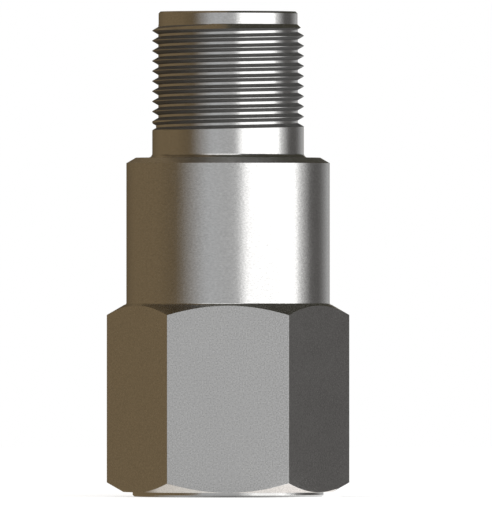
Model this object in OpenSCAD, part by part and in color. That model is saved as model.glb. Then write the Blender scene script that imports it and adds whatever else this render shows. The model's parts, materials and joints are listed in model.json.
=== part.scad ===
// Industrial vibration sensor: a piezoelectric accelerometer in a welded stainless steel
// housing, with a hexagon for the spanner, a tapped base and a threaded two-pin connector.
// Millimetres. The origin is the centre of the mounting face, +Z is the sensing axis and
// points to the connector, and one flat of the hexagon faces -Y.

/* [Housing] */
// Hexagon size across its flats
hex_af = 22; // [21.8:0.1:27]
// Height of the hexagon
hex_h = 19.6; // [17:0.1:26]
// Angle of the hexagon's and the shoulder's chamfers, from the horizontal
chamfer_angle = 30; // [20:1:40]
// Diameter of the barrel above the hexagon
barrel_d = 21.3; // [20.6:0.1:21.5]
// Height of the barrel, from the hexagon to the shoulder
barrel_h = 15.4; // [13:0.1:22]
// Width of the chamfer round the shoulder, measured along the radius
shoulder_chamfer = 1; // [0.3:0.05:1.1]
// Radius of the fillet where the barrel meets the hexagon
foot_fillet = 0.2; // [0.05:0.05:0.25]
// Thickness of the barrel's wall
barrel_wall = 1.55; // [1.45:0.05:1.9]
// Thickness of the shoulder that carries the connector
shoulder_t = 2; // [1.6:0.1:3]

/* [Connector] */
// Height of the connector above the shoulder
connector_h = 15.3; // [13:0.1:19]
// Diameter of the socket that the plug enters
socket_d = 12.7; // [11:0.1:14]
// Thickness of the shell, from the socket to the outer diameter of the coupling thread
shell_wall = 1.5875; // [1.45:0.0125:2]
// Turns of the thread in an inch
thread_tpi = 24; // [20:1:28]
// Depth of the thread as a share of its pitch
thread_depth_ratio = 0.6; // [0.5:0.01:0.61]
// Height of the plain neck under the thread
neck_h = 2.95; // [2:0.05:4.5]
// Radius of the fillet where the neck meets the shoulder
neck_fillet = 0.45; // [0.1:0.05:0.6]
// Angle round the axis at which the thread's full depth ends, from +X
thread_end_angle = 252; // [0:1:359]
// Angle over which the thread's groove runs out into the neck
thread_runout = 210; // [60:10:300]
// Height of the plain collar between the thread and the rim
collar_h = 1.35; // [0.8:0.05:2.5]
// Width of the chamfers on the rim
rim_chamfer = 0.2; // [0.05:0.05:0.3]
// Width of the keyway in the socket's wall
keyway_w = 2; // [1:0.1:3]
// Depth of the keyway
keyway_depth = 0.5; // [0.2:0.05:0.6]
// Width of the weld flange round the foot of the neck
weld_flange_w = 0.76; // [0.65:0.01:0.9]
// Thickness of the weld flange
weld_flange_t = 1.2; // [0.8:0.1:1.4]
// Width of the lip that carries the header
lip_w = 0.85; // [0.4:0.05:1.5]
// Height of the header's seat above the bottom of the weld flange
header_seat = 1.3; // [0.8:0.1:2]
// Thickness of the header plate
header_t = 2.2; // [1.5:0.1:3.5]
// Distance between the two contact pins
pin_pitch = 4.78; // [4.4:0.01:5.4]
// Diameter of a contact pin
pin_d = 1.6; // [1.2:0.05:2]
// Distance from the rim down to the tips of the pins
pin_recess = 2.8; // [1:0.1:5]
// Length of a pin under the header
pin_tail = 1; // [0.5:0.1:1.2]
// Diameter of the glass bead round a pin
bead_d = 3.6; // [2.6:0.1:4]

/* [Mounting base] */
// Diameter of the base's flange, whose lower face is the mounting face
base_d = 20; // [19.2:0.1:20.6]
// Height of the mounting face below the hexagon
pilot_h = 0.5; // [0.2:0.05:1.5]
// Depth to which the base's flange is let into the hexagon
base_recess = 1.6; // [1:0.1:2.5]
// Height of the whole base
base_h = 9.2; // [8.8:0.1:11]
// Width of the chamfer round the mounting face
base_chamfer = 0.2; // [0.05:0.05:0.4]
// Diameter of the tapped hole, at the crests of its thread
tap_d = 5.46; // [4.5:0.01:6.8]
// Depth of the tapped hole
tap_depth = 6.6; // [5:0.1:6.8]
// Diameter of the countersink at its mouth
tap_mouth_d = 6.6; // [5.6:0.1:8]

/* [Sensing element] */
// Thickness of the ceramic disc that insulates the element from the base
isolation_t = 0.8; // [0.4:0.1:1.5]
// Thickness of the post's flange
post_flange_t = 1.2; // [0.8:0.1:2]
// Height of the three-sided post above its flange
post_h = 8.4; // [8:0.1:10]
// Distance from the axis to a face of the post
post_apothem = 2.3; // [1.9:0.1:2.6]
// Thickness of a piezo plate
piezo_t = 0.8; // [0.4:0.1:1.2]
// Width of a piezo plate
piezo_w = 6; // [4:0.1:6.4]
// Height of the seismic masses and of the piezo plates
mass_h = 6.8; // [4.5:0.1:7.2]
// Gap under the masses, above the post's flange
mass_gap = 0.8; // [0.3:0.1:1]
// Gap between neighbouring masses
mass_slot = 1; // [0.5:0.1:1.6]
// Thickness of the preload ring
ring_wall = 0.6; // [0.3:0.1:1]
// Height of the preload ring
ring_h = 6; // [3:0.1:6.6]
// Gap between the preload ring and the inner shield
ring_gap = 1; // [0.5:0.1:1.6]

/* [Shield and insulation] */
// Wall of the insulating cup that lines the housing
cup_wall = 0.4; // [0.2:0.05:0.6]
// Thickness of the cup's top
cup_top_t = 0.8; // [0.4:0.1:1.2]
// Gap between the cup and the housing's ceiling
cup_gap = 0.25; // [0.1:0.05:0.6]
// Wall of the inner shield
shield_wall = 0.3; // [0.2:0.05:0.5]
// Diameter of the grommet in the tops of the shield and the cup
grommet_d = 7.2; // [6.8:0.1:9]
// Width of the grommet's two flanges
grommet_flange = 0.7; // [0.4:0.1:1.2]
// Thickness of each of the grommet's flanges
grommet_flange_t = 0.5; // [0.3:0.05:0.6]

/* [Amplifier] */
// Height of the spacer between the post and the circuit board
spacer_h = 3.4; // [1.5:0.1:5]
// Outer diameter of the spacer
spacer_d = 5; // [3.6:0.1:6]
// Thickness of the circuit board
board_t = 1; // [0.6:0.1:1.6]
// Gap between the circuit board and the inner shield
board_gap = 0.5; // [0.2:0.05:1]
// Diameter of the screw that holds the board
screw_d = 2; // [1.6:0.1:2.5]
// Length of the screw's engagement in the post
screw_reach = 3.5; // [2:0.1:4.5]
// Diameter of the screw's head
screw_head_d = 3.8; // [3:0.1:4.2]
// Height of the screw's head
screw_head_h = 1.4; // [1:0.1:1.6]
// Diameter of a signal lead, over its insulation
lead_d = 1; // [0.6:0.05:1.3]
// Distance from the board's centre line to the signal leads' pads
lead_pad_y = 4.2; // [3:0.1:5]
// Diameter of the lead between the preload ring and the board
sensor_lead_d = 0.4; // [0.2:0.05:0.5]
// Length of the amplifier chip's body, along its rows of leads
amplifier_l = 4.9; // [4:0.1:5.4]
// Width of the amplifier chip's body, between its rows of leads
amplifier_w = 3.9; // [3:0.1:4.2]
// Height of the amplifier chip's body
amplifier_h = 1.4; // [1:0.1:2]
// Distance between neighbouring leads of the amplifier chip
amplifier_pitch = 1.27; // [1:0.01:1.3]
// Length of a chip capacitor
capacitor_l = 3.2; // [2:0.1:3.4]
// Width of a chip capacitor
capacitor_w = 1.6; // [1:0.1:1.8]
// Height of a chip capacitor
capacitor_h = 1.5; // [0.6:0.1:2]
// Length of a chip resistor
resistor_l = 2; // [1:0.1:2.2]
// Width of a chip resistor
resistor_w = 1.25; // [0.5:0.05:1.5]
// Height of a chip resistor
resistor_h = 0.55; // [0.3:0.05:0.8]
// Distance between neighbouring resistors
resistor_step = 2.2; // [1.8:0.1:2.3]
// Length of the protection diode's body
diode_l = 3.4; // [2:0.1:4]
// Width of the protection diode's body
diode_w = 1.6; // [1:0.1:1.7]
// Height of the protection diode's body
diode_h = 1.5; // [0.8:0.1:2]

/* [Fits] */
// Radial clearance between pieces that locate in one another
fit = 0.04; // [0.02:0.01:0.08]

/* [Hidden] */
$fn = 96;
steel = "silver";
past = 1; // how far a cutting solid runs past the face it opens

// Levels, from the mounting face up
z_hex0 = pilot_h;
z_hex1 = z_hex0 + hex_h;
z_shoulder = z_hex1 + barrel_h;
z_ceiling = z_shoulder - shoulder_t;
z_rim = z_shoulder + connector_h;
z_recess = z_hex0 + base_recess;
z_isolation1 = base_h + isolation_t;
z_post0 = z_isolation1 + post_flange_t;
z_post1 = z_post0 + post_h;
z_mass0 = z_post0 + mass_gap;
z_ring0 = z_mass0 + (mass_h - ring_h) / 2;
z_board0 = z_post1 + spacer_h;
z_board1 = z_board0 + board_t;
z_cup1 = z_ceiling - cup_gap;
z_shield1 = z_cup1 - cup_top_t;
z_weld_flange0 = z_shoulder - weld_flange_t;
z_header0 = z_weld_flange0 + header_seat;
z_header1 = z_header0 + header_t;
z_pin0 = z_header0 - pin_tail;
z_pin1 = z_rim - pin_recess;
z_collar0 = z_rim - collar_h;

// Radii, from the outside in
hex_r = hex_af / 2 / cos(30);
barrel_r = barrel_d / 2;
bore_r = barrel_r - barrel_wall;
cup_r = bore_r - fit;
shield_r = cup_r - cup_wall - fit;
shield_bore_r = shield_r - shield_wall;
element_r = shield_bore_r - fit;
ring_r = shield_bore_r - ring_gap;
mass_r = ring_r - ring_wall;
mass_in = post_apothem + piezo_t;
board_r = shield_bore_r - board_gap;
socket_r = socket_d / 2;
thread_r = socket_r + shell_wall;
weld_flange_r = thread_r + weld_flange_w;
lip_r = socket_r - lip_w;
pin_x = pin_pitch / 2;

// Coupling thread: a 60 degree V with a narrow crest, cut into the neck as one helical groove
pitch = 25.4 / thread_tpi;
thread_depth = thread_depth_ratio * pitch;
thread_flank = 30;
crest_w = pitch / 16;
groove_w = pitch - crest_w;
groove_floor_w = groove_w - 2 * thread_depth * tan(thread_flank);
groove_steps = 48; // straight pieces in one turn
groove_over = crest_w * 0.6; // how far the cut stands out of the thread's outer diameter
z_groove0 = z_shoulder + neck_h + groove_w / 2;
z_groove1 = z_collar0 + groove_w / 2 + groove_over;
collar_r = (thread_r - thread_depth) * cos(180 / groove_steps) - groove_over / 4;

// Quarter-round fillet in the corner between a vertical wall of radius r and a floor at z
module fillet_ring(r, z, fillet) {
    rotate_extrude() translate([r, z]) difference() {
        translate([-fillet, 0]) square([2 * fillet, fillet]);
        translate([fillet, fillet]) circle(fillet);
    }
}

// Faces of a closed sweep of n steps, whose rings each have s points
function sweep_faces(n, s) = concat(
    [[for (k = [s - 1 : -1 : 0]) k]],
    [[for (k = [0 : s - 1]) s * n + k]],
    [for (i = [0 : n - 1], k = [0 : s - 1])
        let (a = s * i + k, b = s * i + (k + 1) % s)
        each [[a, b, a + s], [b, b + s, a + s]]]);

// Share of the groove's depth at an angle t past the place where its full depth ends
function groove_share(t) = t >= 0 ? 1 : 1 + 1.1 * t / thread_runout;

// Section of the groove at the angle t, from its floor to just outside the thread
function groove_section(t) =
    let (
        a = thread_end_angle + t,
        z = z_groove0 + pitch * t / 360,
        floor_r = thread_r - thread_depth * groove_share(t),
        over_r = thread_r + groove_over,
        half_floor = groove_floor_w / 2,
        half_over = half_floor + (over_r - floor_r) * tan(thread_flank))
    [[floor_r, -half_floor], [over_r, -half_over], [over_r, half_over], [floor_r, half_floor]]
    * [[cos(a), sin(a), 0], [0, 0, 1]] + [for (k = [0 : 3]) [0, 0, z]];

module thread_groove() {
    turn = thread_runout + (z_groove1 - z_groove0) / pitch * 360;
    steps = ceil(turn / 360 * groove_steps);
    sections = [for (i = [0 : steps]) groove_section(i * 360 / groove_steps - thread_runout)];
    polyhedron([for (s = sections) each s], sweep_faces(steps, 4));
}

// Wire of diameter d from one point up to another: straight, then an S-bend, then straight
module lead(start, end, d, straight) {
    sides = 8;
    bend_steps = 10;
    bend = [for (i = [0 : bend_steps]) i / bend_steps];
    rise = end.z - start.z - 2 * straight;
    path = concat([start],
        [for (u = bend) let (w = u * u * (3 - 2 * u))
            [start.x + w * (end.x - start.x), start.y + w * (end.y - start.y),
            start.z + straight + u * rise]],
        [end]);
    ring = [for (k = [0 : sides - 1]) d / 2 * [cos(-360 * k / sides), sin(-360 * k / sides), 0]];
    polyhedron([for (p = path, c = ring) p + c], sweep_faces(len(path) - 1, sides));
}

// Chip with a metal terminal on each end, lying on the board with its length along X
module chip(size, terminal) {
    skin = 0.03;
    translate([-size.x / 2, -size.y / 2 + skin, 0]) cube([size.x, size.y - 2 * skin, size.z - skin]);
    for (end = [-1, 1])
        translate([end * (size.x - terminal) / 2 - terminal / 2, -size.y / 2, 0])
            cube([terminal, size.y, size.z]);
}

// One of the three faces of the sensing element, turned so that +X is its normal
module on_face(k) {
    rotate(60 + 120 * (k - 1)) children();
}

// Hexagon and barrel, turned from one bar
module housing() {
    color(steel) difference() {
        union() {
            hexagon();
            barrel();
        }
        translate([0, 0, z_hex0 - past]) cylinder(r = base_d / 2 + fit, h = base_recess + past);
        translate([0, 0, z_hex0]) cylinder(r = bore_r, h = z_ceiling - z_hex0);
        translate([0, 0, z_ceiling - past]) cylinder(d = socket_d + 2 * fit, h = shoulder_t + 2 * past);
        translate([0, 0, z_weld_flange0]) cylinder(r = weld_flange_r + fit, h = weld_flange_t + past);
    }
}

module hexagon() {
    out = hex_r + past;
    drop = (out - hex_af / 2) * tan(chamfer_angle);
    intersection() {
        translate([0, 0, z_hex0]) cylinder(r = hex_r, h = hex_h, $fn = 6);
        rotate_extrude() polygon([[0, z_hex0], [hex_af / 2, z_hex0], [out, z_hex0 + drop],
            [out, z_hex1 - drop], [hex_af / 2, z_hex1], [0, z_hex1]]);
    }
}

module barrel() {
    top_r = barrel_r - shoulder_chamfer;
    z_chamfer = z_shoulder - shoulder_chamfer * tan(chamfer_angle);
    rotate_extrude() polygon([[0, z_hex0 + base_recess], [barrel_r, z_hex0 + base_recess],
        [barrel_r, z_chamfer], [top_r, z_shoulder], [0, z_shoulder]]);
    fillet_ring(barrel_r, z_hex1, foot_fillet);
}

// Base that is welded into the hexagon: mounting face, tapped hole and seat of the element
module mounting_base() {
    drill_tip = tap_d / 2 / tan(59);
    mouth_depth = (tap_mouth_d - tap_d) / 2;
    color("gainsboro") difference() {
        rotate_extrude() polygon([[0, 0], [base_d / 2 - base_chamfer, 0], [base_d / 2, base_chamfer],
            [base_d / 2, z_recess], [bore_r - fit, z_recess], [bore_r - fit, base_h], [0, base_h]]);
        rotate_extrude() polygon([[0, -past], [tap_mouth_d / 2 + past, -past],
            [tap_d / 2, mouth_depth], [tap_d / 2, tap_depth], [0, tap_depth + drill_tip]]);
    }
}

module isolation_disc() {
    color("ivory") translate([0, 0, base_h]) cylinder(r = shield_r, h = isolation_t);
}

// Flange and three-sided post that carries the piezo plates
module sensor_post() {
    tapped_depth = screw_reach + screw_d / 4;
    color("lightsteelblue") difference() {
        union() {
            translate([0, 0, z_isolation1]) cylinder(r = element_r, h = post_flange_t);
            translate([0, 0, z_post0]) rotate(120) cylinder(r = 2 * post_apothem, h = post_h, $fn = 3);
        }
        translate([0, 0, z_post1 - tapped_depth]) cylinder(r = screw_d / 2 + fit, h = tapped_depth + past);
    }
}

module piezo_plate(k) {
    color("tan") on_face(k)
        translate([post_apothem, -piezo_w / 2, z_mass0]) cube([piezo_t, piezo_w, mass_h]);
}

// Tungsten block with a flat on the piezo plate and a round back in the preload ring
module seismic_mass(k) {
    apex = mass_slot / 2 / sin(60);
    reach = 2 * mass_r;
    color("dimgray") on_face(k) translate([0, 0, z_mass0]) linear_extrude(mass_h) intersection() {
        circle(mass_r);
        translate([mass_in, -mass_r]) square([mass_r, 2 * mass_r]);
        polygon([[apex, 0], [apex + reach * cos(60), reach * sin(60)],
            [apex + reach, 0], [apex + reach * cos(60), -reach * sin(60)]]);
    }
}

module preload_ring() {
    color("slategray") translate([0, 0, z_ring0]) difference() {
        cylinder(r = ring_r, h = ring_h);
        translate([0, 0, -past]) cylinder(r = mass_r, h = ring_h + 2 * past);
    }
}

// Drawn can over the element and the amplifier, standing on the isolation disc
module inner_shield() {
    hole_r = grommet_d / 2 + fit;
    z_inside = z_shield1 - shield_wall;
    color("lightgray") rotate_extrude() polygon([[element_r + fit, z_isolation1], [shield_r, z_isolation1],
        [shield_r, z_shield1], [hole_r, z_shield1], [hole_r, z_inside], [element_r + fit, z_inside]]);
}

// Moulded cup that keeps the shield clear of the housing, standing on the base
module insulating_cup() {
    color("white") rotate_extrude() polygon([[shield_r + fit, base_h], [cup_r, base_h], [cup_r, z_cup1],
        [grommet_d / 2 + fit, z_cup1], [grommet_d / 2 + fit, z_shield1], [shield_r + fit, z_shield1]]);
}

// Grommet in the tops of the shield and the cup, with a hole for each signal lead
module lead_grommet() {
    neck_r = grommet_d / 2;
    flange_r = neck_r + grommet_flange;
    z0 = z_shield1 - shield_wall;
    color("darkslategray") difference() {
        rotate_extrude() polygon([[0, z0 - grommet_flange_t], [flange_r, z0 - grommet_flange_t],
            [flange_r, z0], [neck_r, z0], [neck_r, z_cup1], [flange_r, z_cup1],
            [flange_r, z_cup1 + grommet_flange_t], [0, z_cup1 + grommet_flange_t]]);
        for (side = [-1, 1])
            translate([side * pin_x, 0, z0 - grommet_flange_t - past])
                cylinder(r = lead_d / 2 + fit, h = z_cup1 - z0 + 2 * grommet_flange_t + 2 * past);
    }
}

module board_spacer() {
    color("linen") translate([0, 0, z_post1]) difference() {
        cylinder(d = spacer_d, h = spacer_h);
        translate([0, 0, -past]) cylinder(r = screw_d / 2 + fit, h = spacer_h + 2 * past);
    }
}

module circuit_board() {
    color("darkgreen") translate([0, 0, z_board0]) difference() {
        cylinder(r = board_r, h = board_t);
        translate([0, 0, -past]) cylinder(r = screw_d / 2 + fit, h = board_t + 2 * past);
    }
}

module board_screw() {
    slot_w = screw_head_d / 6;
    slot_depth = screw_head_h / 2;
    shank = board_t + spacer_h + screw_reach;
    color("gray") difference() {
        union() {
            translate([0, 0, z_board1 - shank]) cylinder(d = screw_d, h = shank + screw_head_h / 2);
            translate([0, 0, z_board1]) cylinder(d = screw_head_d, h = screw_head_h);
        }
        translate([-screw_head_d, -slot_w / 2, z_board1 + screw_head_h - slot_depth])
            cube([2 * screw_head_d, slot_w, slot_depth + past]);
    }
}

// Eight-lead amplifier with gull-wing leads, at the right of the board
module amplifier_chip() {
    body = [amplifier_w, amplifier_l, amplifier_h];
    standoff = amplifier_h / 14;
    lead_t = amplifier_h / 7;
    lead_w = amplifier_pitch / 3;
    foot = amplifier_h / 3;
    color("black") translate([board_r * 0.57, 0, z_board1]) {
        translate([-body.x / 2, -body.y / 2, standoff]) cube(body);
        for (side = [0, 1], k = [-1.5 : 1 : 1.5])
            mirror([side, 0, 0]) translate([body.x / 2, k * amplifier_pitch - lead_w / 2, 0]) {
                translate([-lead_t, 0, body.z / 2]) cube([2 * lead_t, lead_w, lead_t]);
                cube([lead_t, lead_w, body.z / 2 + lead_t]);
                cube([foot, lead_w, lead_t]);
            }
    }
}

module capacitors() {
    size = [capacitor_l, capacitor_w, capacitor_h];
    color("peru") for (side = [-1, 1])
        translate([0, side * board_r * 0.72, z_board1]) chip(size, size.x / 6);
}

module resistors() {
    size = [resistor_l, resistor_w, resistor_h];
    color("dimgray") for (k = [-1.5 : 1 : 1.5])
        translate([-board_r * 0.72, k * resistor_step, z_board1]) chip(size, size.x / 6);
}

module protection_diode() {
    size = [diode_w, diode_l, diode_h];
    terminal_w = diode_w * 3 / 4;
    terminal_t = diode_h / 10;
    color("dimgray") translate([-board_r * 0.39, 0, z_board1]) {
        translate([-size.x / 2, -size.y / 2, terminal_t]) cube(size);
        for (end = [-1, 1])
            translate([-terminal_w / 2, end * (size.y + terminal_t) / 2 - terminal_t / 2, 0])
                cube([terminal_w, terminal_t, size.z / 2]);
    }
}

// Wire from the top of the preload ring to the underside of the board
module sensor_lead() {
    ring_mid = (ring_r + mass_r) / 2;
    start = [0, ring_mid, z_ring0 + ring_h];
    end = [0, ring_mid - ring_wall, z_board0];
    color("gold") lead(start, end, sensor_lead_d, 2 * sensor_lead_d);
}

// Insulated wire from the board through the grommet to the tail of a contact pin
module signal_lead(side, wire_colour) {
    through = z_pin0 - z_shield1 + shield_wall + grommet_flange_t + lead_d / 2;
    start = [side * pin_x, -lead_pad_y, z_board1];
    end = [side * pin_x, 0, z_pin0];
    color(wire_colour) lead(start, end, lead_d, through);
}

// Threaded shell of the connector with its weld flange, socket and keyway
module connector_shell() {
    color(steel) difference() {
        union() {
            rotate_extrude() polygon([[lip_r, z_weld_flange0], [weld_flange_r, z_weld_flange0],
                [weld_flange_r, z_shoulder], [thread_r, z_shoulder],
                [thread_r, z_collar0 - (thread_r - collar_r)], [collar_r, z_collar0],
                [collar_r, z_rim - rim_chamfer], [collar_r - rim_chamfer, z_rim],
                [socket_r + rim_chamfer, z_rim], [socket_r, z_rim - rim_chamfer],
                [socket_r, z_header0], [lip_r, z_header0]]);
            fillet_ring(thread_r, z_shoulder, neck_fillet);
        }
        translate([-keyway_w / 2, 0, z_header1]) cube([keyway_w, socket_r + keyway_depth, z_rim]);
        thread_groove();
    }
}

module header_plate() {
    color("darkgray") translate([0, 0, z_header0]) difference() {
        cylinder(r = socket_r - fit, h = header_t);
        for (side = [-1, 1])
            translate([side * pin_x, 0, -past]) cylinder(d = bead_d, h = header_t + 2 * past);
    }
}

// Glass fused between the header plate and a pin
module glass_bead(side) {
    color("darkolivegreen") translate([side * pin_x, 0, z_header0]) difference() {
        cylinder(d = bead_d, h = header_t);
        translate([0, 0, -past]) cylinder(d = pin_d, h = header_t + 2 * past);
    }
}

module contact_pin(side) {
    color("gold") translate([side * pin_x, 0, 0]) {
        translate([0, 0, z_pin0]) cylinder(d = pin_d, h = z_pin1 - pin_d / 2 - z_pin0);
        translate([0, 0, z_pin1 - pin_d / 2]) sphere(d = pin_d);
    }
}

housing();
mounting_base();
isolation_disc();
sensor_post();
piezo_plate(1);  // piezo_plate_1
piezo_plate(2);  // piezo_plate_2
piezo_plate(3);  // piezo_plate_3
seismic_mass(1);  // seismic_mass_1
seismic_mass(2);  // seismic_mass_2
seismic_mass(3);  // seismic_mass_3
preload_ring();
inner_shield();
insulating_cup();
lead_grommet();
board_spacer();
circuit_board();
board_screw();
amplifier_chip();
capacitors();
resistors();
protection_diode();
sensor_lead();
signal_lead(-1, "red");  // signal_lead_a
signal_lead(1, "white");  // signal_lead_b
connector_shell();
header_plate();
glass_bead(-1);  // glass_bead_a
glass_bead(1);  // glass_bead_b
contact_pin(-1);  // contact_pin_a
contact_pin(1);  // contact_pin_b
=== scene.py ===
"""Looks of the vibration sensor: satin stainless steel under a soft studio light tent.

The housing, the base and the connector's shell are rebuilt as fine meshes with broken edges and cut
threads. Every other CAD node stays, with a procedural material of its own.
"""

import json
import math

import bmesh
import bpy
import numpy as np
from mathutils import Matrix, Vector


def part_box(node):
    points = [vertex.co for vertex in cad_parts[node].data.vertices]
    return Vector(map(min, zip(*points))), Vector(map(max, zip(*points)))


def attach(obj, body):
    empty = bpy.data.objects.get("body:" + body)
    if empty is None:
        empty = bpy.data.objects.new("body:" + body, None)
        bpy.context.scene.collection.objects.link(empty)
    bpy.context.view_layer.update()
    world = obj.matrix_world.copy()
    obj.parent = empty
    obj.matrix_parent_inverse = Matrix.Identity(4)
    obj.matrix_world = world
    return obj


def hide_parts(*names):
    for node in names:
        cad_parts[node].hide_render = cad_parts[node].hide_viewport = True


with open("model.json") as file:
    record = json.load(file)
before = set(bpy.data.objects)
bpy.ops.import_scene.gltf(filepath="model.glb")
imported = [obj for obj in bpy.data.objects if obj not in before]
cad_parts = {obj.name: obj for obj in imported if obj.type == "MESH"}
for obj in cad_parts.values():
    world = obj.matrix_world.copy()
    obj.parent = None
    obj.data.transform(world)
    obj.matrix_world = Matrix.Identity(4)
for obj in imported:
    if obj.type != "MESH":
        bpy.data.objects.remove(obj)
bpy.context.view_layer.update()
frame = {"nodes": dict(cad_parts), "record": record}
nodes = frame["nodes"]
MM = 0.001

# Sizes read from the frame, in millimetres
housing_lo, housing_hi = (np.array(c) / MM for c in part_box("housing"))
base_hi = np.array(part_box("mounting_base")[1]) / MM
shell_lo, shell_hi = (np.array(c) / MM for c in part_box("connector_shell"))
header_lo, header_hi = (np.array(c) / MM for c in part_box("header_plate"))
hex_apothem = housing_hi[1]
hex_z0 = housing_lo[2]
shoulder_z = housing_hi[2]
base_r = base_hi[0]
base_top_z = base_hi[2]
weld_flange_r = shell_hi[0]
weld_flange_z = shell_lo[2]
rim_z = shell_hi[2]
header_z0 = header_lo[2]
header_z1 = header_hi[2]

# Sizes that the frame's boxes don't show, in millimetres, as in the part's source
fit = 0.04
hex_h = 19.6
barrel_r = 10.65
barrel_wall = 1.55
shoulder_chamfer = 1.0
shoulder_t = 2.0
foot_fillet = 0.2
base_recess = 1.6
base_chamfer = 0.2
chamfer_slope = math.tan(math.radians(30))
socket_r = 6.35
thread_r = 7.9375
thread_pitch = 25.4 / 24
thread_depth = 0.6 * thread_pitch
thread_crest_w = thread_pitch / 16
thread_flank = math.radians(30)
thread_end_angle = 252  # degrees
thread_runout = 210  # degrees
runout_rate = 1.1
groove_steps = 48
groove_over = 0.6 * thread_crest_w
neck_h = 2.95
neck_fillet = 0.45
collar_h = 1.35
rim_chamfer = 0.2
keyway_w = 2.0
keyway_depth = 0.5
lip_r = 5.5
tap_r = 2.73
tap_depth = 6.6
tap_mouth_r = 3.3
drill_half_angle = math.radians(59)

# Sizes of what only this script shows, in millimetres
edge_break = 0.015
top_inset = 0.15
tap_pitch = 25.4 / 28
tap_thread_depth = 0.4
tap_groove_w = 0.8 * tap_pitch
tap_floor_w = 0.25 * tap_pitch

hex_half_side = math.radians(30)
hex_z1 = hex_z0 + hex_h
bore_r = barrel_r - barrel_wall
ceiling_z = shoulder_z - shoulder_t
recess_z = hex_z0 + base_recess
collar_z0 = rim_z - collar_h
collar_r = (thread_r - thread_depth) * math.cos(math.pi / groove_steps) - groove_over / 4


# Meshes from rows of points round the axis

def turned_row(angles, radius, z):
    """One row of points round the axis; radius and z are numbers or one value for each angle."""
    radius = np.broadcast_to(radius, angles.shape)
    z = np.broadcast_to(z, angles.shape)
    return np.stack([radius * np.cos(angles), radius * np.sin(angles), z], axis=1)


def profile_rows(angles, corners):
    """Rows of radius and height, with a value for each angle, from a profile's list of corners."""
    return [np.array([np.broadcast_to(value, angles.shape) for value in corner]) for corner in corners]


def break_edges(profile, size, arc_points=4):
    """Rounds the corners of a profile, a list of rows of radius and height, each by at most size and by
    less than half of the sides that meet there."""
    rounded = [profile[0]]
    for before, corner, after in zip(profile, profile[1:], profile[2:]):
        ends = []
        for other in (before, after):
            way = other - corner
            length = np.maximum(np.linalg.norm(way, axis=0), 1e-9)
            ends.append(corner + way / length * np.minimum(size, 0.45 * length))
        for share in np.linspace(0, 1, arc_points):
            arriving = (1 - share) * ends[0] + share * corner
            leaving = (1 - share) * corner + share * ends[1]
            rounded.append((1 - share) * arriving + share * leaving)
    rounded.append(profile[-1])
    return rounded


def even_flats(mesh, sharp=40):
    """Gives each corner the normal of the larger faces round its point, so flats stay flat beside small
    rounded edges; faces that meet at more than sharp degrees keep a crisp edge."""
    facing = np.empty(3 * len(mesh.polygons))
    areas = np.empty(len(mesh.polygons))
    sides = np.empty(len(mesh.polygons), dtype=np.int32)
    points = np.empty(len(mesh.loops), dtype=np.int32)
    mesh.polygons.foreach_get("normal", facing)
    mesh.polygons.foreach_get("area", areas)
    mesh.polygons.foreach_get("loop_total", sides)
    mesh.loops.foreach_get("vertex_index", points)
    facing = np.repeat(facing.reshape(-1, 3), sides, axis=0)
    weights = np.repeat((areas / areas.max()) ** 2, sides)
    by_point = np.argsort(points, kind="stable")
    count = np.bincount(points)
    first = np.cumsum(count) - count
    normals = np.empty_like(facing)
    for corners in np.unique(count):
        around = by_point[first[count == corners][:, None] + np.arange(corners)]
        near = facing[around] @ facing[around].transpose(0, 2, 1) > math.cos(math.radians(sharp))
        normals[around] = near @ (facing[around] * weights[around][..., None])
    normals /= np.linalg.norm(normals, axis=1, keepdims=True)
    mesh.normals_split_custom_set(normals)


def mesh_from_rows(name, rows, closed, same_point=2e-7, no_length=1e-8):
    """Joins rows of points, in millimetres, into a mesh. Points nearer than same_point are welded and
    edges shorter than no_length removed, both in metres."""
    count = len(rows[0])
    points = np.concatenate(rows) * MM
    last = len(rows) if closed else len(rows) - 1
    faces = []
    for j in range(last):
        a = j * count
        b = (j + 1) % len(rows) * count
        faces += [(a + i, a + i + 1, b + i + 1, b + i) for i in range(count - 1)]
    mesh = bpy.data.meshes.new(name)
    mesh.from_pydata(points.tolist(), [], faces)
    work = bmesh.new()
    work.from_mesh(mesh)
    bmesh.ops.remove_doubles(work, verts=work.verts, dist=same_point)
    bmesh.ops.dissolve_degenerate(work, edges=work.edges, dist=no_length)
    bmesh.ops.recalc_face_normals(work, faces=work.faces)
    for face in work.faces:
        face.smooth = True
    work.to_mesh(mesh)
    work.free()
    even_flats(mesh)
    piece = bpy.data.objects.new(name, mesh)
    bpy.context.scene.collection.objects.link(piece)
    return piece


def stands_for(piece, node):
    """Puts a piece on the part's body, in place of a CAD node."""
    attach(piece, "root")
    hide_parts(node)


# Housing: a hexagon with rounded corners below a turned barrel

def hexagon_angles():
    """Angles round the hexagon, from a corner, close together at the corners."""
    flat = np.linspace(-1, 1, 41)
    reach = math.atan((1 - edge_break / hex_apothem) * math.tan(hex_half_side))
    side = np.arctan(flat * math.tan(reach))
    corner = reach + 2 * (hex_half_side - reach) * np.array([0.25, 0.5, 0.75])
    angles = [(2 * k + 1) * hex_half_side + np.concatenate([side, corner]) for k in range(6)]
    angles = np.concatenate(angles)
    return np.append(angles, angles[0] + 2 * math.pi)


def hexagon_radius(angles):
    """Distance from the axis to the hexagon's side, with corners rounded by edge_break."""
    from_middle = np.abs(angles % (2 * hex_half_side) - hex_half_side)
    from_corner = hex_half_side - from_middle
    on_flat = hex_apothem / np.cos(from_middle)
    centre = (hex_apothem - edge_break) / math.cos(hex_half_side)
    aside = centre * np.sin(from_corner)
    on_corner = centre * np.cos(from_corner) + np.sqrt(np.maximum(edge_break**2 - aside**2, 0))
    return np.where(aside < edge_break * math.sin(hex_half_side), on_corner, on_flat)


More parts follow.
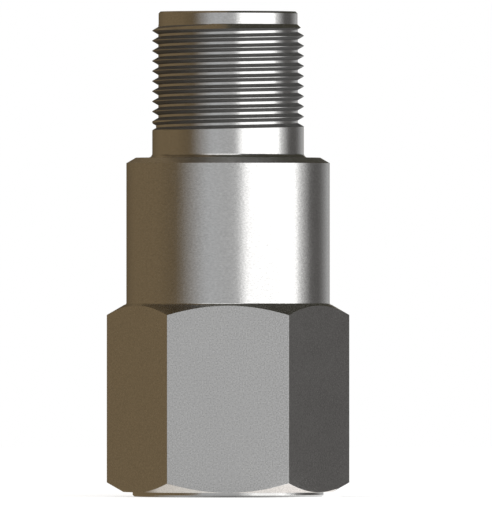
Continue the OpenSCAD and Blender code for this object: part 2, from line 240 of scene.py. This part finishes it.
def make_housing():
    angles = hexagon_angles()
    side = hexagon_radius(angles)
    start = hex_apothem - edge_break
    top_start = hex_apothem - top_inset
    rise = (side - start) * chamfer_slope
    drop = (side - top_start) * chamfer_slope
    foot = barrel_r + foot_fillet
    chamfer_z = shoulder_z - shoulder_chamfer * chamfer_slope

    fillet = [
        (foot - foot_fillet * math.sin(turn), hex_z1 + foot_fillet * (1 - math.cos(turn)))
        for turn in np.linspace(0, math.pi / 2, 6)
    ]
    outside = [
        (base_r + fit, hex_z0),
        (start, hex_z0),
        (side, hex_z0 + rise),
        (side, hex_z1 - drop),
        (max(top_start, foot), hex_z1 - max(foot - top_start, 0) * chamfer_slope),
        fillet[0],
    ]
    top = [
        fillet[-1],
        (barrel_r, chamfer_z),
        (barrel_r - shoulder_chamfer, shoulder_z),
        (weld_flange_r + fit, shoulder_z),
        (weld_flange_r + fit, weld_flange_z),
    ]
    inside = [
        (socket_r + fit, weld_flange_z),
        (socket_r + fit, ceiling_z),
        (bore_r, ceiling_z),
        (bore_r, recess_z),
        (base_r + fit, recess_z),
    ]
    profile = break_edges(profile_rows(angles, outside), edge_break)
    profile += profile_rows(angles, fillet[1:-1])
    profile += break_edges(profile_rows(angles, top), edge_break)
    profile += profile_rows(angles, inside)
    rows = [turned_row(angles, radius, z) for radius, z in profile]
    return mesh_from_rows("housing_skin", rows, closed=True)


# Threads: rows that climb with the helix, held between two plain rings
turns_below = 2
turns_above = 1


def thread_rows(angles, pitch, z_start, offsets, radius_at, z_low, z_high, to_edge=None):
    """Rows of a thread, with spare turns below and above it. offsets are heights from the groove's
    middle, over one pitch; radius_at gives the radius from the turned angle in degrees, the offset and
    the height; to_edge, if given, moves an offset onto an edge close to it."""
    turns = turns_below + math.ceil((z_high - z_low) / pitch) + turns_above
    climb = np.degrees(angles - angles[0])
    rows = []
    for turn in range(turns):
        for offset in offsets:
            t = climb + 360 * (turn - turns_below)
            middle = z_start + pitch * t / 360
            at = to_edge(offset, middle) if to_edge else offset
            held = np.clip(middle + at, z_low, z_high)
            rows.append(turned_row(angles, radius_at(t, at, held), held))
    return rows


def groove_offsets(pitch, groove_w, floor_w, soft, flank_steps):
    """Heights of the section's points, from one crest's middle up to just below the next one's."""
    half, floor = groove_w / 2, floor_w / 2
    flank = np.linspace(-half + soft, -floor - soft, flank_steps + 1)
    below = [-pitch / 2, -half - soft, *flank, -floor + soft]
    return below + [0.0] + [-b for b in reversed(below[1:])]


def groove_share(offset, groove_w, floor_w):
    """Share of the groove's depth at a height from its middle."""
    return np.clip((groove_w / 2 - np.abs(offset)) / (groove_w / 2 - floor_w / 2), 0, 1)


def keyed(row):
    """The row of a socket's wall with the keyway cut into it, at +Y."""
    reach = keyway_w / 2
    x, y = row[:, 0].copy(), row[:, 1]
    inside = np.flatnonzero((y > 0) & (np.abs(x) < reach))
    cut = row.copy()
    first, last = inside[0], inside[-1]
    mouth = math.sqrt(max(np.hypot(x[first], y[first]) ** 2 - reach**2, 0))
    cut[inside, 0] = np.linspace(x[first], x[last], len(inside)) / abs(x[first]) * reach
    cut[inside, 1] = socket_r + keyway_depth
    for edge, side in ((first - 1, x[first]), (last + 1, x[last])):
        cut[edge, 0] = math.copysign(reach, side)
        cut[edge, 1] = mouth
    return cut


def make_connector():
    columns = 240
    angles = np.radians(thread_end_angle) + np.linspace(0, 2 * math.pi, columns + 1)
    groove_w = thread_pitch - thread_crest_w
    floor_w = groove_w - 2 * thread_depth * math.tan(thread_flank)
    z_start = shoulder_z + neck_h + groove_w / 2
    z_low = shoulder_z + neck_h - 0.75 * thread_pitch  # below the end of the run-out

    def radius_at(t, offset, z):
        runout = np.clip(1 + runout_rate * np.minimum(t, 0) / thread_runout, 0, 1)
        full = groove_share(offset, groove_w, floor_w) * thread_depth
        cut = np.maximum(full - (1 - runout) * thread_depth, 0)
        cut = np.where(z <= z_low, 0, cut)
        return np.minimum(thread_r - cut, collar_r + np.maximum(collar_z0 - z, 0))

    flank_steps = 4
    flank_h = (groove_w - floor_w) / 2
    flank_slope = thread_depth / flank_h

    def to_cone(offset, middle):
        """Moves a point of the upper flank onto the edge of the lead-in cone, if it is near."""
        edge = collar_r + collar_z0 - middle - thread_r + flank_slope * groove_w / 2
        edge = edge / (1 + flank_slope)
        return np.where(np.abs(offset - edge) < flank_h / flank_steps / 2, edge, offset)

    offsets = groove_offsets(thread_pitch, groove_w, floor_w, soft=0.006, flank_steps=flank_steps)
    thread = thread_rows(angles, thread_pitch, z_start, offsets, radius_at, z_low, collar_z0, to_cone)

    foot = [
        turned_row(
            angles,
            thread_r + neck_fillet * (1 - math.sin(turn)),
            shoulder_z + neck_fillet * (1 - math.cos(turn)),
        )
        for turn in np.linspace(0, math.pi / 2, 8)
    ]

    rim = [
        (collar_r, collar_z0),
        (collar_r, rim_z - rim_chamfer),
        (collar_r - rim_chamfer, rim_z),
        (socket_r + rim_chamfer, rim_z),
        (socket_r, rim_z - rim_chamfer),
        (socket_r, header_z1),
    ]
    rim_profile = break_edges(profile_rows(angles, rim), edge_break)
    rim_rows = [turned_row(angles, radius, z) for radius, z in rim_profile]
    for i, row in enumerate(rim_rows):
        below_rim = row[0, 2] < rim_z - 1e-6  # more than the rounding of a height
        on_socket = np.hypot(row[0, 0], row[0, 1]) < socket_r + rim_chamfer
        if below_rim and on_socket:
            rim_rows[i] = keyed(row)
    lower = [
        (socket_r, header_z1),
        (socket_r, header_z0),
        (lip_r, header_z0),
        (lip_r, weld_flange_z),
        (weld_flange_r, weld_flange_z),
        (weld_flange_r, shoulder_z),
    ]
    lower_rows = [turned_row(angles, radius, z) for radius, z in lower]
    rows = foot + [turned_row(angles, thread_r, z_low)] + thread + rim_rows + lower_rows
    return mesh_from_rows("connector_skin", rows, closed=True)


def make_base():
    columns = 160
    angles = np.linspace(0, 2 * math.pi, columns + 1)
    mouth_z = tap_mouth_r - tap_r
    thread_z1 = tap_depth - tap_pitch

    def radius_at(t, offset, z):
        taper = np.clip(np.minimum(z - mouth_z, thread_z1 - z) / tap_thread_depth, 0, 1)
        return tap_r + groove_share(offset, tap_groove_w, tap_floor_w) * tap_thread_depth * taper

    offsets = groove_offsets(tap_pitch, tap_groove_w, tap_floor_w, soft=0.02, flank_steps=1)
    thread = thread_rows(angles, tap_pitch, mouth_z, offsets, radius_at, mouth_z, thread_z1)

    outside = [
        (tap_mouth_r, 0),
        (base_r - base_chamfer, 0),
        (base_r, base_chamfer),
        (base_r, recess_z),
        (bore_r - fit, recess_z),
        (bore_r - fit, base_top_z),
        (0, base_top_z),
    ]
    profile = break_edges(profile_rows(angles, outside), edge_break)
    rows = [turned_row(angles, radius, z) for radius, z in profile]
    tip_z = tap_depth + tap_r / math.tan(drill_half_angle)
    hole = [turned_row(angles, tap_r, mouth_z)] + thread
    hole += [turned_row(angles, tap_r, tap_depth), turned_row(angles, 0, tip_z)]
    return mesh_from_rows("base_skin", hole[::-1] + rows, closed=False)


# Materials
noise_low, noise_high = 0.25, 0.75  # most values of a noise lie between these
patches_per_mm = 0.25
marks_stretch = (0.5, 0.5, 1)
marks_low, marks_high = 0.36, 0.64


def new_material(name, color, metallic, roughness):
    """A material with a Principled shader; returns the material, its nodes, its links and the shader."""
    material = bpy.data.materials.new(name)
    material.use_nodes = True
    tree = material.node_tree
    shader = tree.nodes["Principled BSDF"]
    shader.inputs["Base Color"].default_value = (*color, 1)
    shader.inputs["Metallic"].default_value = metallic
    shader.inputs["Roughness"].default_value = roughness
    return material, tree.nodes, tree.links, shader


def noise(nodes_of, links_of, per_mm, stretch=(1, 1, 1), detail=2.0):
    """Noise in the part's own frame, with about per_mm cells to the millimetre."""
    place = nodes_of.new("ShaderNodeTexCoord")
    scale = nodes_of.new("ShaderNodeMapping")
    scale.inputs["Scale"].default_value = [per_mm / MM * s for s in stretch]
    texture = nodes_of.new("ShaderNodeTexNoise")
    texture.inputs["Scale"].default_value = 1.0
    texture.inputs["Detail"].default_value = detail
    links_of.new(place.outputs["Object"], scale.inputs["Vector"])
    links_of.new(scale.outputs["Vector"], texture.inputs["Vector"])
    return texture.outputs["Fac"]


def spread(nodes_of, links_of, value, low, high):
    """Maps a noise value to a range."""
    node = nodes_of.new("ShaderNodeMapRange")
    node.inputs["From Min"].default_value = noise_low
    node.inputs["From Max"].default_value = noise_high
    node.inputs["To Min"].default_value = low
    node.inputs["To Max"].default_value = high
    links_of.new(value, node.inputs["Value"])
    return node.outputs["Result"]


def tint(nodes_of, links_of, value, color, amount):
    """The colour, lighter and darker by amount where the noise is high and low."""
    ramp = nodes_of.new("ShaderNodeValToRGB")
    ramp.color_ramp.elements[0].position = noise_low
    ramp.color_ramp.elements[1].position = noise_high
    ramp.color_ramp.elements[0].color = (*[c * (1 - amount) for c in color], 1)
    ramp.color_ramp.elements[1].color = (*[min(c * (1 + amount), 1) for c in color], 1)
    links_of.new(value, ramp.inputs["Fac"])
    return ramp.outputs["Color"]


def above(nodes_of, links_of, z, upper, lower):
    """One value above a height in mm and another below it."""
    place = nodes_of.new("ShaderNodeTexCoord")
    where = nodes_of.new("ShaderNodeSeparateXYZ")
    links_of.new(place.outputs["Object"], where.inputs["Vector"])
    higher = nodes_of.new("ShaderNodeMath")
    higher.operation = "GREATER_THAN"
    higher.inputs[1].default_value = z * MM
    links_of.new(where.outputs["Z"], higher.inputs[0])
    choice = nodes_of.new("ShaderNodeMix")
    links_of.new(higher.outputs[0], choice.inputs["Factor"])
    links_of.new(lower, choice.inputs["A"])
    links_of.new(upper, choice.inputs["B"])
    return choice.outputs["Result"]


def finish_surface(
    name, color, metallic, roughness, grain_per_mm, color_amount, rough_amount, bump_mm, turned_from=None
):
    """A surface whose colour and height vary with one fine grain, and its roughness in patches. Above
    the height turned_from in mm the grain is drawn out along the turning marks; below it the surface is
    ground flat."""
    material, nodes_of, links_of, shader = new_material(name, color, metallic, roughness)
    grain = noise(nodes_of, links_of, grain_per_mm)
    patches = noise(nodes_of, links_of, patches_per_mm)
    relief = grain
    if turned_from is not None:
        marks = noise(nodes_of, links_of, grain_per_mm, marks_stretch)
        faint_marks = spread(nodes_of, links_of, marks, marks_low, marks_high)
        grain = above(nodes_of, links_of, turned_from, faint_marks, grain)
        relief = above(nodes_of, links_of, turned_from, faint_marks, patches)
    links_of.new(tint(nodes_of, links_of, grain, color, color_amount), shader.inputs["Base Color"])
    low, high = roughness * (1 - rough_amount), roughness * (1 + rough_amount)
    links_of.new(spread(nodes_of, links_of, patches, low, high), shader.inputs["Roughness"])
    bump = nodes_of.new("ShaderNodeBump")
    bump.inputs["Strength"].default_value = 1.0
    bump.inputs["Distance"].default_value = bump_mm * MM
    links_of.new(relief, bump.inputs["Height"])
    links_of.new(bump.outputs["Normal"], shader.inputs["Normal"])
    return material


def roughen_and_shade_slopes(material, share, rough, z_low, z_high, slope_from=0.73, slope_full=0.83):
    """Roughens the faces between two heights in mm that look up or down, where the tool leaves a coarser
    face than on the upright ones, and darkens their colour by share as painted shade, for the shade
    between the flanks of a thread's groove. A face's slope is the height of its normal."""
    nodes_of, links_of = material.node_tree.nodes, material.node_tree.links
    shader = nodes_of["Principled BSDF"]
    place = nodes_of.new("ShaderNodeTexCoord")
    facing = nodes_of.new("ShaderNodeSeparateXYZ")
    where = nodes_of.new("ShaderNodeSeparateXYZ")
    links_of.new(place.outputs["Normal"], facing.inputs["Vector"])
    links_of.new(place.outputs["Object"], where.inputs["Vector"])
    slope = nodes_of.new("ShaderNodeMath")
    slope.operation = "ABSOLUTE"
    links_of.new(facing.outputs["Z"], slope.inputs[0])
    steep = nodes_of.new("ShaderNodeMapRange")
    steep.inputs["From Min"].default_value = slope_from
    steep.inputs["From Max"].default_value = slope_full
    links_of.new(slope.outputs[0], steep.inputs["Value"])
    masked = steep.outputs["Result"]
    for operation, height in (("GREATER_THAN", z_low), ("LESS_THAN", z_high)):
        inside = nodes_of.new("ShaderNodeMath")
        inside.operation = operation
        inside.inputs[1].default_value = height * MM
        links_of.new(where.outputs["Z"], inside.inputs[0])
        both = nodes_of.new("ShaderNodeMath")
        both.operation = "MULTIPLY"
        links_of.new(masked, both.inputs[0])
        links_of.new(inside.outputs[0], both.inputs[1])
        masked = both.outputs[0]
    # Painted shade: the colour of the masked faces is multiplied by share
    mix = nodes_of.new("ShaderNodeMix")
    mix.data_type = "RGBA"
    mix.blend_type = "MULTIPLY"
    plain = shader.inputs["Base Color"].links[0].from_socket
    links_of.new(masked, mix.inputs["Factor"])
    links_of.new(plain, mix.inputs["A"])
    mix.inputs["B"].default_value = (share, share, share, 1)
    links_of.new(mix.outputs["Result"], shader.inputs["Base Color"])
    mix_rough = nodes_of.new("ShaderNodeMix")
    plain_rough = shader.inputs["Roughness"].links[0].from_socket
    links_of.new(masked, mix_rough.inputs["Factor"])
    links_of.new(plain_rough, mix_rough.inputs["A"])
    mix_rough.inputs["B"].default_value = rough
    links_of.new(mix_rough.outputs["Result"], shader.inputs["Roughness"])


def put_on(piece, material):
    piece.data.materials.clear()
    piece.data.materials.append(material)


steel = (0.70, 0.695, 0.685)
housing_steel = finish_surface(
    "housing_steel",
    steel,
    metallic=1,
    roughness=0.21,
    grain_per_mm=7,
    color_amount=0.23,
    rough_amount=0.1,
    bump_mm=0.014,
    turned_from=hex_z1,
)
roughen_and_shade_slopes(
    housing_steel, share=1.0, rough=0.35, z_low=shoulder_z - shoulder_chamfer, z_high=shoulder_z
)
connector_steel = finish_surface(
    "connector_steel",
    steel,
    metallic=1,
    roughness=0.18,
    grain_per_mm=7,
    color_amount=0.14,
    rough_amount=0.1,
    bump_mm=0.012,
    turned_from=shoulder_z,
)
# Painted shade on the thread's flanks: their colour is darkened to 0.45, for the shade between the
# flanks of the groove; they are also made rougher
roughen_and_shade_slopes(
    connector_steel, share=0.45, rough=0.62, z_low=shoulder_z + neck_h - thread_pitch, z_high=collar_z0
)
base_steel = finish_surface(
    "base_steel",
    steel,
    metallic=1,
    roughness=0.12,
    grain_per_mm=6,
    color_amount=0.03,
    rough_amount=0.1,
    bump_mm=0.0002,
)

housing = make_housing()
stands_for(housing, "housing")
put_on(housing, housing_steel)
connector = make_connector()
stands_for(connector, "connector_shell")
put_on(connector, connector_steel)
base = make_base()
stands_for(base, "mounting_base")
put_on(base, base_steel)

# Name of the material, then colour, metallic, roughness, grain to the mm, variation of colour and
# roughness, height of the grain in mm
inner_finishes = {
    "alumina": ((0.86, 0.83, 0.76), 0, 0.5, 8, 0.03, 0.1, 0.001),
    "titanium": ((0.52, 0.5, 0.48), 1, 0.32, 7, 0.06, 0.15, 0.001),
    "piezo_ceramic": ((0.6, 0.49, 0.31), 0, 0.45, 10, 0.08, 0.1, 0.001),
    "tungsten": ((0.36, 0.36, 0.37), 1, 0.36, 8, 0.06, 0.15, 0.001),
    "spring_steel": ((0.5, 0.51, 0.52), 1, 0.28, 8, 0.04, 0.1, 0.0008),
    "shield_metal": ((0.66, 0.65, 0.62), 1, 0.26, 5, 0.04, 0.1, 0.0008),
    "cup_plastic": ((0.78, 0.72, 0.6), 0, 0.5, 4, 0.04, 0.1, 0.002),
    "grommet_rubber": ((0.03, 0.03, 0.032), 0, 0.72, 6, 0.15, 0.08, 0.003),
    "spacer_plastic": ((0.8, 0.76, 0.68), 0, 0.48, 5, 0.03, 0.1, 0.001),
    "board_laminate": ((0.02, 0.13, 0.05), 0, 0.3, 3, 0.2, 0.1, 0.002),
    "screw_steel": ((0.58, 0.58, 0.57), 1, 0.27, 8, 0.04, 0.1, 0.0008),
    "chip_plastic": ((0.015, 0.015, 0.018), 0, 0.5, 8, 0.2, 0.1, 0.002),
    "capacitor_ceramic": ((0.42, 0.28, 0.15), 0, 0.42, 8, 0.1, 0.1, 0.001),
    "resistor_ceramic": ((0.03, 0.03, 0.035), 0, 0.4, 8, 0.2, 0.1, 0.001),
    "diode_plastic": ((0.02, 0.02, 0.02), 0, 0.5, 8, 0.2, 0.1, 0.002),
    "wire_metal": ((0.72, 0.55, 0.3), 1, 0.3, 8, 0.05, 0.1, 0.0008),
    "lead_red": ((0.45, 0.03, 0.025), 0, 0.45, 4, 0.06, 0.1, 0.001),
    "lead_white": ((0.8, 0.8, 0.78), 0, 0.45, 4, 0.04, 0.1, 0.001),
    "header_steel": ((0.56, 0.55, 0.53), 1, 0.3, 8, 0.05, 0.12, 0.001),
    "seal_glass": ((0.03, 0.045, 0.03), 0, 0.12, 3, 0.25, 0.2, 0.002),
    "pin_gold": ((0.86, 0.61, 0.24), 1, 0.2, 8, 0.04, 0.15, 0.0006),
}
finishes = {name: finish_surface(name, *values) for name, values in inner_finishes.items()}
for part in frame["record"]["subparts"]:
    if part["material_slot"] in finishes:
        put_on(nodes[part["node"]], finishes[part["material_slot"]])

# Studio: a ring of soft panels round the object, a lid over it, and a white floor. The steel mirrors the
# panels, and the camera doesn't see them.
panel_step = 4  # degrees
floor_gap = 0.00002  # metres
floor_rise = 0.0008  # metres to the metre


def panel_material(name, level):
    """A material that gives off a level of red, green and blue."""
    material = bpy.data.materials.new(name)
    material.use_nodes = True
    tree = material.node_tree
    tree.nodes.clear()
    light = tree.nodes.new("ShaderNodeEmission")
    light.inputs["Color"].default_value = (*(level / level.max()), 1)
    light.inputs["Strength"].default_value = level.max()
    out = tree.nodes.new("ShaderNodeOutputMaterial")
    tree.links.new(light.outputs["Emission"], out.inputs["Surface"])
    return material


def stage_mesh(name, points, faces, material):
    """A thing of the studio, in metres, which the camera doesn't see and which casts no shadow."""
    mesh = bpy.data.meshes.new(name)
    mesh.from_pydata(points, [], faces)
    item = bpy.data.objects.new(name, mesh)
    bpy.context.scene.collection.objects.link(item)
    put_on(item, material)
    item.visible_camera = False
    item.visible_shadow = False
    return item


def panel(name, start, end, light, sweep):
    """A curved panel between two bearings, in degrees from the front (-Y) towards +X, whose section is
    a list of distances from the axis and heights."""
    steps = max(2, int((end - start) / panel_step))
    bearings = np.radians(np.linspace(start, end, steps + 1))
    points = [(r * math.sin(b), -r * math.cos(b), z) for b in bearings for r, z in sweep]
    rows = len(sweep)
    faces = []
    for i in range(steps):
        for k in range(rows - 1):
            a = i * rows + k
            faces.append((a, a + rows, a + rows + 1, a + 1))
    return stage_mesh(name, points, faces, panel_material(name, light))


def soft_edge(name, start, end, light_start, light_end, sweep, strips=6):
    """Strips between two panels, whose light goes from one to the other; a light is a level of red,
    green and blue."""
    width = (end - start) / strips
    for k in range(strips):
        light = light_start + (light_end - light_start) * (k + 0.5) / strips
        panel(f"{name}_{k}", start + k * width, start + (k + 1) * width, light, sweep)


def soft_ring(name, stops, sweep):
    """Soft edges one after another, through a list of bearings and the light at each of them."""
    for k, ((start, light_start), (end, light_end)) in enumerate(zip(stops, stops[1:])):
        soft_edge(f"{name}_{k}", start, end, light_start, light_end, sweep)


def on_floor(*distances):
    """The section of a panel just above the floor, which rises a little outwards."""
    return [(r, floor_gap + floor_rise * r) for r in distances]


def soft_floor(name, start, end, light_near, light_far, r_near, r_far, strips=6):
    """Rings on the floor, whose light goes from one level to another with the distance from the axis."""
    width = (r_far - r_near) / strips
    for k in range(strips):
        light = light_near + (light_far - light_near) * (k + 0.5) / strips
        r = r_near + k * width
        panel(f"{name}_{k}", start, end, light, on_floor(r, r + width))


# Distances from the axis and heights at which panels end, in metres
ring_r = 0.0098
bounce_r = 0.0105
foot_r = 0.012
near_r = 0.02
fade_r = 0.08
slope_r = 0.1
box_r = 0.2
lid_r = 0.35
tent_r = 0.6
box_z = 0.006
slope_z = 0.03
back_z = 0.12
strip_z0 = 0.26
low_strip_z1 = 0.45
strip_z1 = 0.68
tent_h = 0.75

# Sections of the panels, from the inner or lower end
ring_sweep = on_floor(ring_r, bounce_r)
bounce_sweep = on_floor(bounce_r, foot_r)
near_sweep = on_floor(foot_r, near_r)
far_sweep = on_floor(near_r, slope_r)
foot_sweep = on_floor(foot_r, slope_r)
ring_and_foot_sweep = on_floor(ring_r, slope_r)
low_sweep = [*on_floor(slope_r), (tent_r, slope_z), (tent_r, strip_z0)]
back_sweep = [*on_floor(slope_r), (tent_r, slope_z), (tent_r, back_z)]
box_near_sweep = [*on_floor(fade_r, slope_r), (box_r, box_z)]
box_end_sweep = [*on_floor(slope_r), (box_r, box_z)]
box_sweep = [(box_r, box_z), (tent_r, slope_z), (tent_r, strip_z0)]
strip_sweep = [(tent_r, strip_z0), (tent_r, strip_z1)]
low_strip_sweep = [(tent_r, strip_z0), (tent_r, low_strip_z1)]
over_strip_sweep = [(tent_r, strip_z1), (tent_r, tent_h), (0, tent_h)]
over_low_strip_sweep = [(tent_r, low_strip_z1), (tent_r, tent_h), (0, tent_h)]
over_back_sweep = [(tent_r, back_z), (tent_r, tent_h), (0, tent_h)]
side_top_sweep = [(tent_r, low_strip_z1), (tent_r, tent_h), (lid_r, tent_h)]
lid_sweep = [(lid_r, tent_h), (0, tent_h)]
high_sweep = [(tent_r, strip_z0), (tent_r, tent_h), (0, tent_h)]

# Levels of red, green and blue
neutral = np.array([1.0, 1.0, 1.0])
warm_light = 0.19 * np.array([1.0, 0.73, 0.41])
front_warm_light = 0.72 * warm_light
side_light = 0.45 * warm_light
side_top_light = 0.33 * warm_light
front_light = 0.483 * np.array([1.0, 1.006, 1.014])
front_cool_light = 0.517 * np.array([1.0, 1.02, 1.045])
front_near_light = 0.75 * front_light
strip_light = 1.2 * neutral
box_light = 1.68 * neutral
box_near_light = 0.7 * neutral
box_end_light = 0.85 * neutral
flag_light = np.array([0.109, 0.105, 0.102])
back_light = 0.45 * neutral
dim_light = 0.07 * neutral
top_light = 0.055 * np.array([1.0, 0.94, 0.72])
lid_light = 0.075 * np.array([1.0, 0.97, 0.78])
bounce_left = np.array([0.74, 0.69, 0.63])
bounce_front = np.array([0.86, 0.83, 0.79])
bounce_right = np.array([1.1, 1.04, 1.0])
ring_left = 0.42 * neutral
ring_front = 0.22 * neutral
ring_right = 0.46 * neutral
ring_side = 0.95 * neutral

# Low panels, which the upright faces mirror
soft_edge("warm_card_back", -180, -130, side_light, warm_light, low_sweep)
panel("warm_card", -130, -86, warm_light, low_sweep)
soft_edge("warm_card_edge", -86, -58, warm_light, front_warm_light, low_sweep, 4)
soft_edge("front_card_edge", -58, -24, front_warm_light, front_cool_light, low_sweep)
soft_edge("front_card", -24, 0, front_cool_light, front_light, low_sweep, 4)
panel("front_card_end", 0, 11.5, front_light, low_sweep)
soft_edge("softbox_start", 11.5, 22.5, front_light, box_light, low_sweep, 5)
panel("softbox", 22.5, 85, box_light, box_sweep)
panel("softbox_near", 22.5, 62, box_near_light, box_near_sweep)
panel("softbox_near_end", 62, 85, box_light, box_end_sweep)
soft_edge("softbox_end", 85, 105, box_end_light, flag_light, low_sweep, 5)
panel("dark_flag", 105, 126, flag_light, low_sweep)
soft_edge("back_card_edge", 126, 154, flag_light, back_light, back_sweep)
panel("back_card", 154, 164, back_light, back_sweep)
soft_edge("back_card_end", 164, 180, back_light, warm_light, back_sweep, 4)

# High panels, which the upper chamfers, the fillets and the lead-in of the thread mirror
panel("warm_top", -180, -134, warm_light, high_sweep)
panel("side_back", -134, -110, side_light, strip_sweep)
panel("side_back_top", -134, -110, warm_light, over_strip_sweep)
panel("left_strip", -110, -46, warm_light, low_strip_sweep)
panel("side_top", -110, -60, side_top_light, side_top_sweep)
panel("warm_lid", -110, -60, warm_light, lid_sweep)
panel("front_top_left", -60, -46, dim_light, over_low_strip_sweep)
soft_edge("left_strip_edge", -46, -28, warm_light, strip_light, strip_sweep)
panel("front_strip", -28, 20, strip_light, strip_sweep)
panel("front_top_right", 20, 60, dim_light, strip_sweep)
panel("front_top", -46, 60, lid_light, over_strip_sweep)
panel("right_top", 60, 126, top_light, high_sweep)
panel("back_top", 126, 180, top_light, over_back_sweep)

# Panels on the floor, which the lower chamfers and the base mirror
panel("warm_foot", -180, -56, warm_light, ring_and_foot_sweep)
ring_stops = [(-56, warm_light), (-30, ring_left), (0, ring_front), (30, ring_right), (60, ring_side)]
soft_ring("ring", ring_stops, ring_sweep)
panel("back_ring", 60, 180, box_end_light, ring_sweep)
bounce_stops = [(-56, warm_light), (-42, bounce_left), (-10, bounce_front), (40, bounce_right)]
soft_ring("bounce", bounce_stops, bounce_sweep)
panel("right_bounce", 40, 180, bounce_right, bounce_sweep)
panel("left_foot", -56, -30, warm_light, foot_sweep)
panel("front_near", -30, 20, front_near_light, near_sweep)
panel("front_foot", -30, 20, front_light, far_sweep)
panel("softbox_foot", 20, 62, box_light, near_sweep)
soft_floor("softbox_fade", 20, 62, box_light, box_near_light, near_r, fade_r)
panel("flag_foot", 62, 120, flag_light, foot_sweep)
panel("back_foot", 120, 180, back_light, foot_sweep)


def seen_as_white(tree):
    """1 where the camera sees a thing, straight or in a mirror or through glass, and 0 where it only
    lights matt faces."""
    path = tree.nodes.new("ShaderNodeLightPath")
    seen = path.outputs["Is Camera Ray"]
    for ray in ("Is Glossy Ray", "Is Transmission Ray"):
        either = tree.nodes.new("ShaderNodeMath")
        either.operation = "MAXIMUM"
        tree.links.new(seen, either.inputs[0])
        tree.links.new(path.outputs[ray], either.inputs[1])
        seen = either.outputs[0]
    return seen


floor_glow = 0.72
floor_material = bpy.data.materials.new("floor_white")
floor_material.use_nodes = True
floor_tree = floor_material.node_tree
floor_tree.nodes.clear()
matt = floor_tree.nodes.new("ShaderNodeBsdfDiffuse")
matt.inputs["Color"].default_value = (0.9, 0.9, 0.9, 1)
glow = floor_tree.nodes.new("ShaderNodeEmission")
share = floor_tree.nodes.new("ShaderNodeMath")
share.operation = "MULTIPLY"
share.inputs[1].default_value = floor_glow
blend = floor_tree.nodes.new("ShaderNodeMixShader")
floor_out = floor_tree.nodes.new("ShaderNodeOutputMaterial")
floor_tree.links.new(seen_as_white(floor_tree), share.inputs[0])
floor_tree.links.new(share.outputs[0], blend.inputs["Fac"])
floor_tree.links.new(matt.outputs["BSDF"], blend.inputs[1])
floor_tree.links.new(glow.outputs["Emission"], blend.inputs[2])
floor_tree.links.new(blend.outputs["Shader"], floor_out.inputs["Surface"])

floor_r = 0.58
floor_turn = np.linspace(0, 2 * math.pi, 97)[:-1]
floor = stage_mesh(
    "floor",
    [(floor_r * math.cos(a), floor_r * math.sin(a), 0) for a in floor_turn],
    [tuple(range(len(floor_turn)))],
    floor_material,
)
floor.visible_camera = True
floor.visible_shadow = True

# A soft lamp for the floor and its shadow, which the steel doesn't mirror
lamp_data = bpy.data.lights.new("floor_lamp", "SUN")
lamp_data.energy = 3.8
lamp_data.angle = math.radians(50)
lamp = bpy.data.objects.new("floor_lamp", lamp_data)
lamp.rotation_euler = (math.radians(14), 0, 0)
lamp.visible_glossy = False
bpy.context.scene.collection.objects.link(lamp)

world = bpy.data.worlds.new("studio")
bpy.context.scene.world = world
world.use_nodes = True
world_tree = world.node_tree
background = world_tree.nodes["Background"]
background.inputs["Color"].default_value = (1, 1, 1, 1)
world_level = world_tree.nodes.new("ShaderNodeMapRange")
world_level.inputs["To Min"].default_value = 0.3
world_level.inputs["To Max"].default_value = 1.0
world_tree.links.new(seen_as_white(world_tree), world_level.inputs["Value"])
world_tree.links.new(world_level.outputs["Result"], background.inputs["Strength"])
bpy.context.scene.view_settings.view_transform = "Standard"

# Camera: level, square to a flat of the hexagon, with a long lens. axis_px and base_px are where the
# photo has the axis and the mounting face, in pixels from its left and its top.
image_w, image_h = 492, 513
px_per_mm = 9.55
axis_px = 228.05
base_px = 496.65
camera_distance = 2.3
camera_data = bpy.data.cameras.new("camera")
camera = bpy.data.objects.new("camera", camera_data)
camera_data.sensor_fit = "AUTO"
camera_data.sensor_width = 36
camera_data.lens = camera_data.sensor_width * camera_distance / (image_h / px_per_mm * MM)
camera.location = (
    (image_w / 2 - axis_px) / px_per_mm * MM,
    -camera_distance,
    (base_px - image_h / 2) / px_per_mm * MM,
)
camera.rotation_euler = (math.radians(90), 0, 0)
bpy.context.scene.collection.objects.link(camera)
bpy.context.scene.camera = camera
